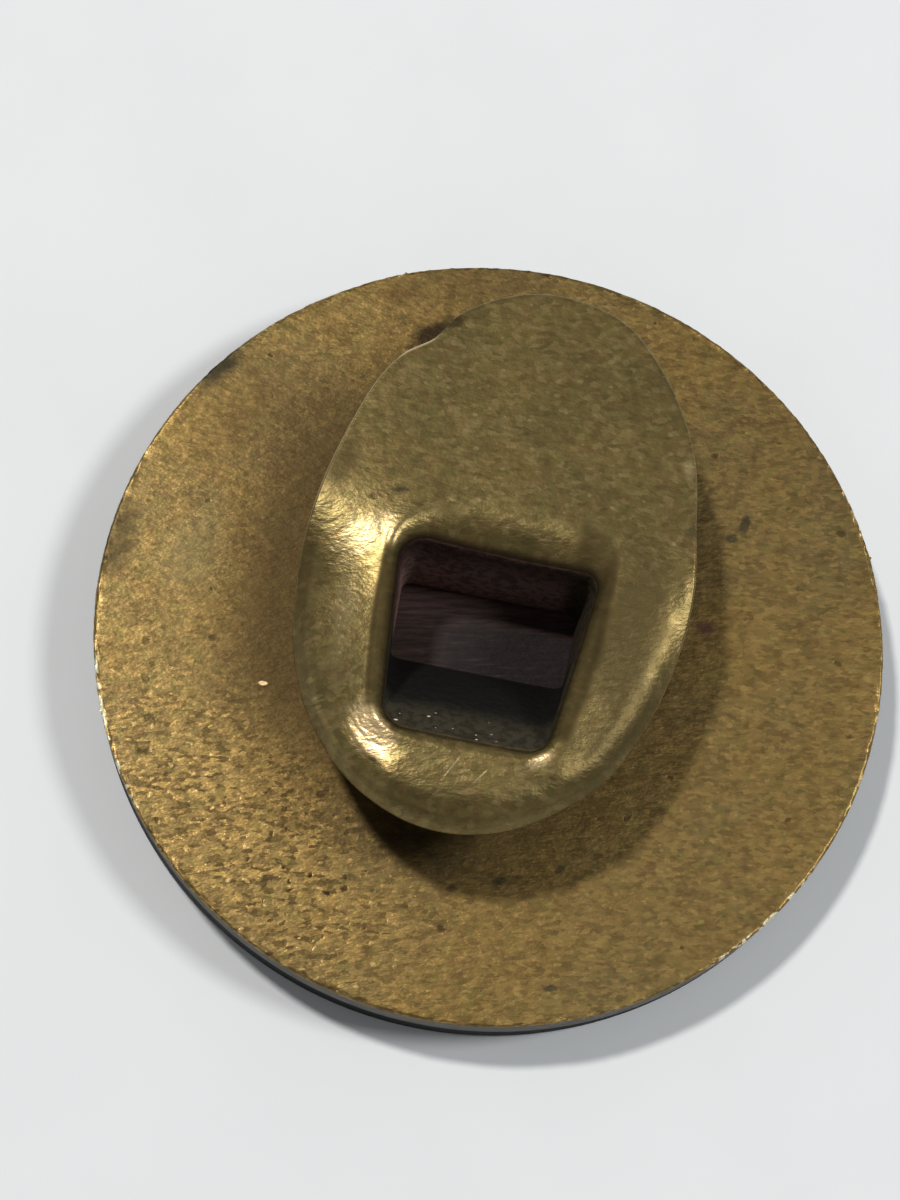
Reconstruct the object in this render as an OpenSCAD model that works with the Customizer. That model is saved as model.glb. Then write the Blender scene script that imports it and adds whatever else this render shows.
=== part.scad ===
// Antique cuff button, one of a pair, lying on its face as a shirt stud rests when unworn.
// A thin round brass back carries a hollow post and an oval foot drawn from one sheet. They are
// soldered to the back, so all the brass is one solid. The front disc is a piece of its own,
// set behind the brass with a narrow seam.
// Millimetres. Origin: centre of the face it rests on. +Z: up through the foot. +Y: towards the
// foot's long toe.

/* [Front disc] */
// Thickness of the front disc
face_t = 2; // [1:0.05:3]
// How far the wall of the front disc is set in from the edge of the brass
face_inset = 0.08; // [0:0.02:0.3]
// Height of the curved bevel round the front
bevel_h = 0.3; // [0.1:0.05:0.8]
// Width of the curved bevel round the front
bevel_w = 0.3; // [0.1:0.1:3]

/* [Brass back] */
// Diameter of the back, and of the button
back_d = 25; // [20:0.5:28]
// Thickness of the back
back_t = 0.3; // [0.25:0.05:0.6]
// Radius of the worn top edge of the back
back_edge_r = 0.1; // [0.05:0.01:0.2]
// Seam between the front disc and the back
seam = 0.05; // [0.02:0.01:0.1]

/* [Hollow post] */
// Thickness of the sheet that the post and the foot are drawn from
wall = 0.4; // [0.3:0.05:0.5]
// Inside width of the post at the back
base_w = 5.55; // [4.8:0.05:5.8]
// Inside length of the post at the back
base_l = 2.3; // [2:0.1:3.4]
// Centre of the post at the back, along Y
base_y = -0.15; // [-1:0.05:0.5]
// Inside width of the mouth, at the middle of its length
mouth_w = 5.6; // [5:0.05:6.2]
// Inside length of the mouth
mouth_l = 5.95; // [5:0.05:6.2]
// Centre of the mouth, along Y
mouth_y = -1.74; // [-2.4:0.02:-1.2]
// Centre of the post and of the toe side of its mouth, along X
post_x = -0.27; // [-0.5:0.01:0.5]
// How much wider the mouth is at the toe side and narrower at the heel side
mouth_taper = 0.117; // [0:0.001:0.15]
// How far the heel side of the mouth lies to the left
mouth_lean = 0.16; // [0:0.02:0.4]
// How square the post is: 2 is round, 8 nearly sharp
squareness = 5.5; // [3:0.5:8]

/* [Foot] */
// Width of the foot
foot_w = 12.1; // [11:0.1:13]
// Length of the foot
foot_l = 17.95; // [16.5:0.05:18.5]
// Centre of the foot, along X
foot_x = -0.18; // [-0.5:0.02:0.5]
// Centre of the foot, along Y
foot_y = 1.5; // [0.8:0.05:1.8]
// Turn of the foot's outline about its centre
foot_turn = -4.1; // [-6:0.1:6]
// Fullness of the toe half: 2 is an ellipse, less is more pointed
toe_fullness = 1.9; // [1.8:0.02:2.4]
// Fullness of the heel half
heel_fullness = 2.14; // [1.8:0.02:2.4]
// Height of the crest round the mouth above the back, to the middle of the sheet
crest_h = 4.1; // [3.6:0.05:4.6]
// Where the flat toe begins, along Y
crease_y = 1.7; // [1.4:0.1:3]
// How much lower the tip of the toe is than the crest
toe_fall = 0.8; // [0:0.05:1.2]
// How far the thin edge of the toe turns down
toe_roll = 0.12; // [0:0.02:0.3]

/* [Hidden] */

back_z = face_t + seam;
top_z = back_z + back_t;
back_r = back_d / 2;
face_r = back_r - face_inset;

// Sections of the post, from inside the back to just under the mouth.
// up: share of the height to the mouth. spread: share of the way from the base to the mouth.
POST = [
    // up, spread
    [0.00, 0.00],
    [0.22, 0.12],
    [0.48, 0.34],
    [0.72, 0.62],
    [0.90, 0.87]
];
// Sections of the foot, from the mouth to the rim. out: share of the way from the mouth to the rim.
// toe, left, heel, right: depth under the crest on each side of the mouth.
FOOT = [
    // out, toe, left, heel, right
    [0.00, 0.48, 0.25, 0.12, 0.12],
    [0.05, 0.24, 0.02, 0.02, 0.02],
    [0.10, 0.09, 0.06, 0.00, 0.00],
    [0.16, 0.02, 0.13, 0.01, 0.01],
    [0.30, 0.00, 0.31, 0.03, 0.05],
    [0.50, 0.00, 0.58, 0.06, 0.11],
    [0.65, 0.00, 0.79, 0.11, 0.15],
    [0.76, 0.00, 0.94, 0.21, 0.23],
    [0.84, 0.00, 1.13, 0.33, 0.33],
    [0.92, 0.00, 1.34, 0.52, 0.48],
    [1.00, 0.00, 1.55, 0.82, 0.64]
];
around = 60;
arc_steps = 6;
blend_before = 3; // the rim is drawn up to the flat toe from this far before the crease
flat_from = 0.05; // share of the way to the rim where the toe begins to be flat
flat_to = 0.2; // and where it is quite flat
toe_roll_from = 0.9; // share of the way to the rim where the toe's edge turns down
rim_round = 0.8; // how full the sheet's cut edge is, 1 being a half round

post_n = len(POST);
shell_n = post_n + len(FOOT);
base_z = top_z - back_t / 2;
crest_z = top_z + crest_h;
rim_w = foot_w / 2 - wall / 2;
rim_l = foot_l / 2 - wall / 2;
toe_tip_y = foot_y + foot_l / 2;

function mix(a, b, t) = a + (b - a) * t;
function smooth(a, b, v) = let (t = max(0, min(1, (v - a) / (b - a)))) t * t * (3 - 2 * t);
function unit(v) = v / norm(v);
function bulge(a, n) = 1 / pow(pow(abs(cos(a)), n) + pow(abs(sin(a)), n), 1 / n);
function turned(p, a) = [p[0] * cos(a) - p[1] * sin(a), p[0] * sin(a) + p[1] * cos(a)];

// A point of the post's rounded square, share s of the way from the base to the mouth
function post_point(a, s) =
    let (
        r = bulge(a, squareness),
        w = mix(base_w, mouth_w, s) / 2 + wall / 2,
        l = mix(base_l, mouth_l, s) / 2 + wall / 2,
        y = r * sin(a)
    )
    [
        post_x + w * r * cos(a) * (1 + s * mouth_taper * y) - s * mouth_lean * (1 - y) / 2,
        mix(base_y, mouth_y, s) + l * y
    ];

// A point of the foot's rim
function rim_point(a) =
    let (r = bulge(a, sin(a) > 0 ? toe_fullness : heel_fullness))
    [foot_x, foot_y] + turned([rim_w * r * cos(a), rim_l * r * sin(a)], foot_turn);

// Depth under the crest of a section at a point, passing smoothly from each side to the next
function drop_at(f, p) =
    let (way = unit([p[0] - post_x, p[1] - mouth_y]), x = way[0], y = way[1])
    f[y > 0 ? 1 : 3] * y * y + f[x < 0 ? 2 : 4] * x * x;

// Height of the middle of the sheet at a point of the foot
function foot_z(p, f) =
    let (
        toe = smooth(crease_y - blend_before, crease_y, p[1]) * smooth(flat_from, flat_to, f[0]),
        fall = toe_fall * max(0, p[1] - crease_y) / (toe_tip_y - crease_y),
        flat = crest_z - fall - toe_roll * smooth(toe_roll_from, 1, f[0])
    )
    mix(crest_z - drop_at(f, p), flat, toe);

function section_point(i, a) =
    i < post_n
    ? let (p = post_point(a, POST[i][1]), mouth_z = crest_z - drop_at(FOOT[0], p))
      [p[0], p[1], mix(base_z, mouth_z, POST[i][0])]
    : let (f = FOOT[i - post_n], p = mix(post_point(a, 1), rim_point(a), f[0]))
      [p[0], p[1], foot_z(p, f)];

module shell() {
    mid = [for (i = [0:shell_n - 1]) [for (j = [0:around - 1]) section_point(i, j * 360 / around)]];
    // half the sheet's thickness, square to the sheet, towards the hollow and the top
    half = [for (i = [0:shell_n - 1]) [for (j = [0:around - 1])
        let (
            along = mid[min(i + 1, shell_n - 1)][j] - mid[max(i - 1, 0)][j],
            across = mid[i][(j + 1) % around] - mid[i][(j + around - 1) % around]
        )
        unit(cross(along, across)) * wall / 2
    ]];
    edge = [for (j = [0:around - 1])
        mid[shell_n - 1][j]
        + unit(mid[shell_n - 1][j] - mid[shell_n - 2][j]) * rim_round * wall / 2
    ];
    rings = [
        for (i = [0:shell_n - 1]) mid[i] + half[i],
        edge,
        for (i = [shell_n - 1:-1:0]) mid[i] - half[i]
    ];
    ring_n = len(rings);
    points = [for (ring = rings) each ring];
    faces = [for (k = [0:ring_n - 1], j = [0:around - 1])
        let (
            a = k * around + j,
            b = k * around + (j + 1) % around,
            c = (k + 1) % ring_n * around + (j + 1) % around,
            d = (k + 1) % ring_n * around + j
        )
        each [[a, b, c], [a, c, d]]
    ];
    polyhedron(points, faces, convexity = 6);
}

module back_plate() {
    rotate_extrude($fn = 96) polygon([
        [0, back_z],
        [back_r, back_z],
        for (k = [0:arc_steps])
            [
                back_r - back_edge_r * (1 - cos(k * 90 / arc_steps)),
                top_z - back_edge_r * (1 - sin(k * 90 / arc_steps))
            ],
        [0, top_z]
    ]);
}

module brass_back() {
    color([0.55, 0.46, 0.27]) union() {
        back_plate();
        shell();
    }
}

module front_disc() {
    color([0.3, 0.3, 0.29]) rotate_extrude($fn = 96) polygon([
        [0, 0],
        for (k = [0:arc_steps])
            [
                face_r - bevel_w * (1 - sin(k * 90 / arc_steps)),
                bevel_h * (1 - cos(k * 90 / arc_steps))
            ],
        [face_r, face_t],
        [0, face_t]
    ]);
}

brass_back();
front_disc();
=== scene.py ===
import math

import bmesh
import bpy
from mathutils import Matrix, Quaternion, Vector


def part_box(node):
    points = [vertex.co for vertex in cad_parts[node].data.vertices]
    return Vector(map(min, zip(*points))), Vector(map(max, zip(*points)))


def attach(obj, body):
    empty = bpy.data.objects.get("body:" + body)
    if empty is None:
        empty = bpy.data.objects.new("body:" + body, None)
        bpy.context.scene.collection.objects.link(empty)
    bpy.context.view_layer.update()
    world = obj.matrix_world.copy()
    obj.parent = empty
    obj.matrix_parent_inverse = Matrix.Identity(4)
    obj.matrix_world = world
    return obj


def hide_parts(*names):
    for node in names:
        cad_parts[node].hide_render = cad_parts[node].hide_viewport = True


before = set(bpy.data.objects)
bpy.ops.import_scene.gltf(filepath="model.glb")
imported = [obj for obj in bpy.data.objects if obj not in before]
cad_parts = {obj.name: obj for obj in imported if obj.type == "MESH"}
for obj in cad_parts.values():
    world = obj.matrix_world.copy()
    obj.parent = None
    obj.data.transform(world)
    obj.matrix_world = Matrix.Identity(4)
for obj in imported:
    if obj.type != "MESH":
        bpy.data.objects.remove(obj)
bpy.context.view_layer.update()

mm = 0.001
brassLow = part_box("brass_back")[0]
faceLow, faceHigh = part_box("front_disc")
tiny = 0.01 * mm
print("frame loaded")


# Picking and editing, as by hand

def pickNothing():
    if bpy.context.mode != "OBJECT":
        bpy.ops.object.mode_set(mode="OBJECT")
    bpy.ops.object.select_all(action="DESELECT")


def makeActive(obj):
    pickNothing()
    obj.select_set(True)
    bpy.context.view_layer.objects.active = obj


def startEdit(obj):
    makeActive(obj)
    bpy.ops.object.mode_set(mode="EDIT")
    bpy.ops.mesh.select_mode(type="VERT")
    bpy.ops.mesh.select_all(action="DESELECT")


def endEdit():
    bpy.ops.object.mode_set(mode="OBJECT")


def pickVerts(obj, test):
    # selects the points that pass the test
    bpy.ops.mesh.select_mode(type="VERT")
    bm = bmesh.from_edit_mesh(obj.data)
    for v in bm.verts:
        v.select = bool(test(v))
    bm.select_flush_mode()
    bmesh.update_edit_mesh(obj.data)


def pickEdges(obj, test):
    bpy.ops.mesh.select_mode(type="EDGE")
    bm = bmesh.from_edit_mesh(obj.data)
    for e in bm.edges:
        e.select_set(False)
    for e in bm.edges:
        if test(e):
            e.select_set(True)
    bmesh.update_edit_mesh(obj.data)


def pickNearest(obj, x, y):
    # selects the one point nearest to a place in the plan, in mm
    spot = Vector((x * mm, y * mm))
    near = min(bmesh.from_edit_mesh(obj.data).verts, key=lambda v: (v.co.xy - spot).length)
    pickVerts(obj, lambda v: v == near)


def pull(move, reach):
    # moves what is selected, and what lies within reach of it by less
    bpy.ops.transform.translate(value=[m * mm for m in move], use_proportional_edit=True,
                                proportional_edit_falloff="SMOOTH", proportional_size=reach * mm)


def applyAll(obj):
    makeActive(obj)
    for name in [m.name for m in obj.modifiers]:
        bpy.ops.object.modifier_apply(modifier=name)


def bridgeLevels(obj, low, high, cuts):
    # joins the loops that lie at two heights, in mm, by a band of faces
    def onLevel(v):
        return min(abs(v.co.z - low * mm), abs(v.co.z - high * mm)) < tiny

    pickEdges(obj, lambda e: all(onLevel(v) for v in e.verts))
    bpy.ops.mesh.bridge_edge_loops(number_cuts=cuts, interpolation="LINEAR")


def roundSheet(radius, z, rimPoints):
    # a flat round face, filled with a grid
    pickNothing()
    bpy.ops.mesh.primitive_circle_add(vertices=rimPoints, radius=radius * mm, location=(0, 0, z))
    obj = bpy.context.object
    startEdit(obj)
    bpy.ops.mesh.select_all(action="SELECT")
    bpy.ops.mesh.fill_grid(span=rimPoints // 4)
    bpy.ops.mesh.select_all(action="SELECT")
    return obj


def extrudeDown(depth):
    bpy.ops.mesh.extrude_region_move(TRANSFORM_OT_translate={"value": (0, 0, -depth)})


def faceOutwards():
    bpy.ops.mesh.select_all(action="SELECT")
    bpy.ops.mesh.normals_make_consistent(inside=False)


def subdivideSmoothly(obj):
    smooth = obj.modifiers.new("smooth", "SUBSURF")
    smooth.levels = smooth.render_levels = 1
    applyAll(obj)


def place(obj, name):
    # a finished piece's place goes into its mesh
    obj.name = name
    obj.data.name = name
    makeActive(obj)
    bpy.ops.object.transform_apply(location=True, rotation=True, scale=True)
    return obj


def joinAll(objs):
    pickNothing()
    for o in objs:
        o.select_set(True)
    bpy.context.view_layer.objects.active = objs[0]
    bpy.ops.object.join()
    return objs[0]


def lineThrough(rows, share):
    # a smooth line through the rows of a table, read at a share of the way
    i = 0
    while i < len(rows) - 2 and share > rows[i + 1][0]:
        i += 1
    before, start, end = rows[max(i - 1, 0)], rows[i], rows[i + 1]
    after = rows[min(i + 2, len(rows) - 1)]
    span = end[0] - start[0]
    t = (share - start[0]) / span
    slopeIn = (end[1] - before[1]) / (end[0] - before[0]) * span
    slopeOut = (after[1] - start[1]) / (after[0] - start[0]) * span
    return ((2 * t**3 - 3 * t**2 + 1) * start[1] + (t**3 - 2 * t**2 + t) * slopeIn
            + (3 * t**2 - 2 * t**3) * end[1] + (t**3 - t**2) * slopeOut)


# Closed loops that the drawn sheet is bridged from

loopPoints = 96
cornerSegments = 8
squareCorners = ((-0.5, 0.5), (0.5, 0.5), (-0.5, -0.5), (0.5, -0.5))


def boxCorners(width, length, x, y, radius):
    # places and radii of the corners of an upright box: toe left, toe right, heel left, heel right
    return [(x + right * width, y + up * length, radius) for right, up in squareCorners]


def squareLoop(z, corners):
    # a four-sided loop through four round corners
    pickNothing()
    bpy.ops.mesh.primitive_plane_add(size=mm, location=(0, 0, z * mm))
    obj = bpy.context.object
    startEdit(obj)
    for (right, up), (x, y, radius) in zip(squareCorners, corners):
        pickNearest(obj, right, up)
        bpy.ops.transform.translate(value=((x - right) * mm, (y - up) * mm, 0))
    for x, y, radius in corners:
        pickNearest(obj, x, y)
        bpy.ops.mesh.bevel(offset=radius * mm, segments=cornerSegments, affect="VERTICES", profile=0.5)
    # the four straight sides
    pickEdges(obj, lambda e: e.calc_length() > 0.5 * mm)
    bpy.ops.mesh.subdivide(number_cuts=loopPoints // 4 - cornerSegments - 1)
    bpy.ops.mesh.select_all(action="SELECT")
    bpy.ops.mesh.delete(type="ONLY_FACE")
    endEdit()
    return place(obj, "loop")


def ovalLoop(halfWidth, toeLength, heelLength, x, y, z, turn):
    # an egg-shaped loop, longer at the toe than at the heel
    pickNothing()
    centre = (x * mm, y * mm, z * mm)
    bpy.ops.mesh.primitive_circle_add(vertices=loopPoints, radius=mm, location=centre)
    obj = bpy.context.object
    startEdit(obj)
    bpy.ops.mesh.select_all(action="SELECT")
    bpy.ops.transform.resize(value=(halfWidth, 1, 1), center_override=centre)
    for side, length in ((1, toeLength), (-1, heelLength)):
        pickVerts(obj, lambda v: v.co.y * side > tiny)
        bpy.ops.transform.resize(value=(1, length, 1), center_override=centre)
    bpy.ops.mesh.select_all(action="SELECT")
    # with no window the turn goes the other way round
    bpy.ops.transform.rotate(value=-math.radians(turn), orient_axis="Z", center_override=centre)
    endEdit()
    return place(obj, "loop")


# Camera, fitted to the outlines of the disc and of the foot in the photo

cameraSetup = {
    "azimuth": -6.2,        # degrees
    "elevation": 72.412,
    "distance": 100,        # mm, from the middle of the plate
    "aimX": -1.497,         # mm, the point at the middle of the picture
    "aimY": 0.795,
    "roll": 14.315,         # degrees
    "lens": 95.09,          # mm
    "clipStart": 0.002,     # m
}


def addCamera(height):
    c = cameraSetup
    a, e = math.radians(c["azimuth"]), math.radians(c["elevation"])
    away = Vector((math.sin(a) * math.cos(e), -math.cos(a) * math.cos(e), math.sin(e)))
    eye = Vector((0, 0, height)) + away * c["distance"] * mm
    aim = Vector((c["aimX"] * mm, c["aimY"] * mm, height))
    data = bpy.data.cameras.new("photoCamera")
    data.lens = c["lens"]
    data.clip_start = c["clipStart"]
    camera = bpy.data.objects.new("photoCamera", data)
    bpy.context.scene.collection.objects.link(camera)
    camera.location = eye
    camera.rotation_mode = "QUATERNION"
    straight = (eye - aim).to_track_quat("Z", "Y")
    camera.rotation_quaternion = straight @ Quaternion((0, 0, 1), math.radians(c["roll"]))
    bpy.context.scene.camera = camera


# Lights and room

lightSetup = {
    "distance": 0.5,        # m
    "keyTurn": 147,         # degrees round from +X
    "keyRise": 63,
    "keySize": 0.05,        # m
    "keyPower": 1.25,       # W
    "keyColour": (1, 0.98, 0.95),
    "fillTurn": 11,
    "fillRise": 53,
    "fillSize": 0.12,
    "fillPower": 0.9,
    "fillColour": (0.97, 0.98, 1),
    "roomLow": 0.32,        # brightness of the room round the sides
    "roomHigh": 0.09,       # and overhead
    "roomColour": (0.97, 0.98, 1, 1),
}


def addAreaLight(kind):
    s = lightSetup
    a, e = math.radians(s[kind + "Turn"]), math.radians(s[kind + "Rise"])
    data = bpy.data.lights.new(kind + "Light", "AREA")
    data.shape = "DISK"
    data.size = s[kind + "Size"]
    data.energy = s[kind + "Power"]
    data.color = s[kind + "Colour"]
    lamp = bpy.data.objects.new(kind + "Light", data)
    bpy.context.scene.collection.objects.link(lamp)
    away = Vector((math.cos(a) * math.cos(e), math.sin(a) * math.cos(e), math.sin(e)))
    lamp.location = away * s["distance"]
    lamp.rotation_euler = away.to_track_quat("Z", "Y").to_euler()


def addLights():
    s = lightSetup
    addAreaLight("key")
    addAreaLight("fill")
    world = bpy.data.worlds.new("softRoom")
    bpy.context.scene.world = world
    world.use_nodes = True
    tree = world.node_tree
    height = split(tree, addNode(tree, "ShaderNodeTexCoord").outputs["Generated"])[2]
    fill(tree, tree.nodes["Background"], {
        "Color": s["roomColour"], "Strength": ramp(tree, height, 0.4, 0.85, s["roomLow"], s["roomHigh"]),
    })
    view = bpy.context.scene.view_settings
    view.view_transform = "Standard"
    view.look = "None"


# Node helpers

def fill(tree, node, inputs):
    for key, value in inputs.items():
        if isinstance(value, bpy.types.NodeSocket):
            tree.links.new(value, node.inputs[key])
        else:
            node.inputs[key].default_value = value
    return node


def addNode(tree, kind, inputs=None, **settings):
    node = tree.nodes.new(kind)
    for key, value in settings.items():
        setattr(node, key, value)
    return fill(tree, node, inputs or {})


def sums(tree, operation, a, b=0.0, clamp=False):
    return addNode(tree, "ShaderNodeMath", {0: a, 1: b}, operation=operation, use_clamp=clamp).outputs[0]


def times(tree, a, b):
    return sums(tree, "MULTIPLY", a, b)


def most(tree, a, b):
    return sums(tree, "MAXIMUM", a, b)


def less(tree, mask):
    # what a mask leaves free
    return sums(tree, "SUBTRACT", 1.0, mask)


def combine(tree, x, y, z):
    return addNode(tree, "ShaderNodeCombineXYZ", {0: x, 1: y, 2: z}).outputs[0]


def split(tree, place):
    # the x, y and z of a place
    return addNode(tree, "ShaderNodeSeparateXYZ", {0: place}).outputs


def channels(tree, tone):
    # the red, green and blue of a colour
    return addNode(tree, "ShaderNodeSeparateColor", {0: tone}).outputs


def vectors(tree, operation, a, b=None, scale=None):
    inputs = {0: a}
    if b is not None:
        inputs[1] = b
    if scale is not None:
        inputs["Scale"] = scale
    return addNode(tree, "ShaderNodeVectorMath", inputs, operation=operation).outputs


def ramp(tree, value, low, high, toLow=0.0, toHigh=1.0):
    node = addNode(tree, "ShaderNodeMapRange", {
        "Value": value, "From Min": low, "From Max": high, "To Min": toLow, "To Max": toHigh,
    }, interpolation_type="SMOOTHSTEP")
    return node.outputs["Result"]


def noise(tree, spots, scale, detail, roughness=0.5):
    return addNode(tree, "ShaderNodeTexNoise", {
        "Vector": spots, "Scale": scale, "Detail": detail, "Roughness": roughness,
    }).outputs


def flatCells(tree, spots, scale):
    cells = {"Vector": spots, "Scale": scale}
    return addNode(tree, "ShaderNodeTexVoronoi", cells, voronoi_dimensions="2D").outputs


def laidOut(tree, place, **inputs):
    # a place seen from a moved, turned and stretched frame
    return addNode(tree, "ShaderNodeMapping", {"Vector": place, **inputs}, vector_type="TEXTURE").outputs[0]


def astray(tree, place, wander, reach):
    # a place shifted by up to half of reach, by the colour of a noise
    shift = vectors(tree, "SUBTRACT", wander, (0.5, 0.5, 0.5))[0]
    return vectors(tree, "ADD", place, vectors(tree, "SCALE", shift, scale=reach)[0])[0]


def bumpFrom(tree, height, depth, strength=1.0):
    return addNode(tree, "ShaderNodeBump", {
        "Height": height, "Distance": depth * mm, "Strength": strength,
    }).outputs[0]


def blendColour(tree, share, a, b):
    return addNode(tree, "ShaderNodeMix", {0: share, 6: a, 7: b}, data_type="RGBA").outputs[2]


def colour(red, green, blue):
    # screen colour, 0 to 255, as light
    def light(c):
        c = c / 255
        return c / 12.92 if c <= 0.04045 else ((c + 0.055) / 1.055) ** 2.4
    return light(red), light(green), light(blue), 1


def newGroup(name, inputs, outputs):
    group = bpy.data.node_groups.new(name, "ShaderNodeTree")
    for label, value in inputs.items():
        kind = "NodeSocketVector" if value is None else "NodeSocketFloat"
        socket = group.interface.new_socket(name=label, in_out="INPUT", socket_type=kind)
        if value is not None:
            socket.default_value = value
    for label in outputs:
        group.interface.new_socket(name=label, in_out="OUTPUT", socket_type="NodeSocketFloat")
    return group, group.nodes.new("NodeGroupInput").outputs, group.nodes.new("NodeGroupOutput")


def useGroup(tree, group, inputs):
    node = tree.nodes.new("ShaderNodeGroup")
    node.node_tree = group
    return fill(tree, node, inputs).outputs


def newMaterial(name):
    material = bpy.data.materials.new(name)
    material.use_nodes = True
    tree = material.node_tree
    # places in millimetres, so that every scale below is a real size
    spots = addNode(tree, "ShaderNodeTexCoord").outputs["Object"]
    return material, tree, tree.nodes["Principled BSDF"], vectors(tree, "SCALE", spots, scale=1 / mm)[0]


# Effects that several finishes share

grainTurn = 11          # degrees from +X: the way that the sheet was rolled and scoured


def makeMarkGroup():
    # one soft mark: an oval, or a square with round corners where Squareness is high
    t, given, out = newGroup("softMark", {
        "Place": None, "X": 0.0, "Y": 0.0, "Turn": 0.0, "Length": 1.0, "Width": 1.0,
        "Softness": 0.5, "Ragged": 0.3, "Grain": 1.5, "Squareness": 2.0,
    }, ["Mask"])
    middle = combine(t, given["X"], given["Y"], 0.0)
    turn = combine(t, 0.0, 0.0, sums(t, "RADIANS", given["Turn"]))
    size = combine(t, given["Length"], given["Width"], 1.0)
    parts = split(t, laidOut(t, given["Place"], Location=middle, Rotation=turn, Scale=size))
    powers = [sums(t, "POWER", sums(t, "ABSOLUTE", parts[i]), given["Squareness"]) for i in (0, 1)]
    away = sums(t, "POWER", sums(t, "ADD", *powers), sums(t, "DIVIDE", 1.0, given["Squareness"]))
    rough = noise(t, given["Place"], given["Grain"], 3.0, 0.6)["Fac"]
    uneven = times(t, sums(t, "SUBTRACT", rough, 0.5), given["Ragged"])
    edge = sums(t, "ADD", away, times(t, uneven, 2.0))
    fade = ramp(t, edge, less(t, given["Softness"]), 1.0, 1.0, 0.0)
    t.links.new(fade, out.inputs["Mask"])
    return t


def makeGrainGroup():
    # the drawn-out grain of rolled and scoured sheet: its height, masks of raised flecks and of pits,
    # and small crisp patches of random tone
    t, given, out = newGroup("rolledGrain", {
        "Place": None, "Turn": 0.0, "Length": 0.4, "Width": 0.12, "Seed": 0.0,
    }, ["Height", "Fleck", "Pit", "Patch"])
    turn = combine(t, 0.0, 0.0, sums(t, "RADIANS", given["Turn"]))
    size = combine(t, given["Length"], given["Width"], given["Width"])
    shift = combine(t, given["Seed"], given["Seed"], given["Seed"])
    laid = laidOut(t, given["Place"], Location=shift, Rotation=turn, Scale=size)
    coarse = noise(t, laid, 0.8, 2.0, 0.55)
    fine = noise(t, laid, 2.1, 2.0, 0.6)
    both = sums(t, "ADD", times(t, coarse["Fac"], 0.65), times(t, fine["Fac"], 0.35))
    cells = flatCells(t, astray(t, laid, fine["Color"], 0.7), 1.5)
    t.links.new(both, out.inputs["Height"])
    t.links.new(ramp(t, both, 0.55, 0.68), out.inputs["Fleck"])
    t.links.new(ramp(t, both, 0.43, 0.33), out.inputs["Pit"])
    t.links.new(channels(t, cells["Color"])[0], out.inputs["Patch"])
    return t


def makePitGroup():
    # small scattered pits: one in some of the cells, each of its own size
    t, given, out = newGroup("scatteredPits", {
        "Place": None, "Spacing": 0.8, "Size": 0.2, "Share": 0.3, "Stretch": 1.4,
    }, ["Mask"])
    size = combine(t, given["Stretch"], 1.0, 1.0)
    laid = laidOut(t, given["Place"], Rotation=(0, 0, math.radians(grainTurn)), Scale=size)
    cells = flatCells(t, laid, sums(t, "DIVIDE", 1.0, given["Spacing"]))
    chance = channels(t, cells["Color"])
    there = sums(t, "LESS_THAN", chance[0], given["Share"])
    radius = times(t, given["Size"], sums(t, "ADD", 0.5, chance[1]))
    depth = sums(t, "SUBTRACT", 1.0, sums(t, "DIVIDE", cells["Distance"], radius), clamp=True)
    t.links.new(times(t, ramp(t, depth, 0.0, 0.6), there), out.inputs["Mask"])
    return t


softMark = makeMarkGroup()
rolledGrain = makeGrainGroup()
scatteredPits = makePitGroup()
print("shared effects ready")


# Finishes

def grainOver(tree, spots, length, width, seed=0.0):
    return useGroup(tree, rolledGrain, {
        "Place": spots, "Turn": grainTurn, "Length": length, "Width": width, "Seed": seed,
    })


def pitsOver(tree, spots, spacing, size, share, stretch=1.4):
    return useGroup(tree, scatteredPits, {
        "Place": spots, "Spacing": spacing, "Size": size, "Share": share, "Stretch": stretch,
    })["Mask"]


def markAt(tree, spots, area, grain=1.5, squareness=2.0):
    # an area is x, y, half length and half width in mm, turn, softness, raggedness
    x, y, length, width, turn, softness, ragged = area
    return useGroup(tree, softMark, {
        "Place": spots, "X": x, "Y": y, "Length": length, "Width": width, "Turn": turn,
        "Softness": softness, "Ragged": ragged, "Grain": grain, "Squareness": squareness,
    })["Mask"]


def addMarks(tree, spots, rows, base):
    # lays each row's mark over the colour, the small marks with a finer edge, and returns the colour
    # and the strongest mark
    strongest = 0.0
    for *area, strength, shade in rows:
        mask = markAt(tree, spots, area, grain=1.6 / max(area[3], 0.2))
        share = times(tree, mask, strength)
        base = blendColour(tree, share, base, brassTints[shade])
        strongest = most(tree, strongest, share)
    return base, strongest


def addBlotches(tree, spots, base, strength):
    # soft blotches, some greener and some redder
    clouds = channels(tree, noise(tree, spots, 2.3, 3.0)["Color"])
    base = blendColour(tree, ramp(tree, clouds[0], 0.5, 0.62, 0.0, strength), base, brassTints["greener"])
    return blendColour(tree, ramp(tree, clouds[1], 0.5, 0.62, 0.0, strength), base, brassTints["redder"])


brassTints = {
    "smudge": colour(50, 48, 38),
    "shade": colour(84, 67, 40),
    "dull": colour(84, 72, 44),
    "green": colour(116, 110, 78),
    "brown": colour(92, 66, 38),
    "purple": colour(82, 52, 52),
    "soot": colour(24, 18, 18),
    "pale": colour(222, 200, 152),
    # the tint of painted highlights and glints
    "bright": colour(250, 219, 164),
    "greener": colour(118, 112, 62),
    "redder": colour(132, 103, 66),
}
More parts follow.
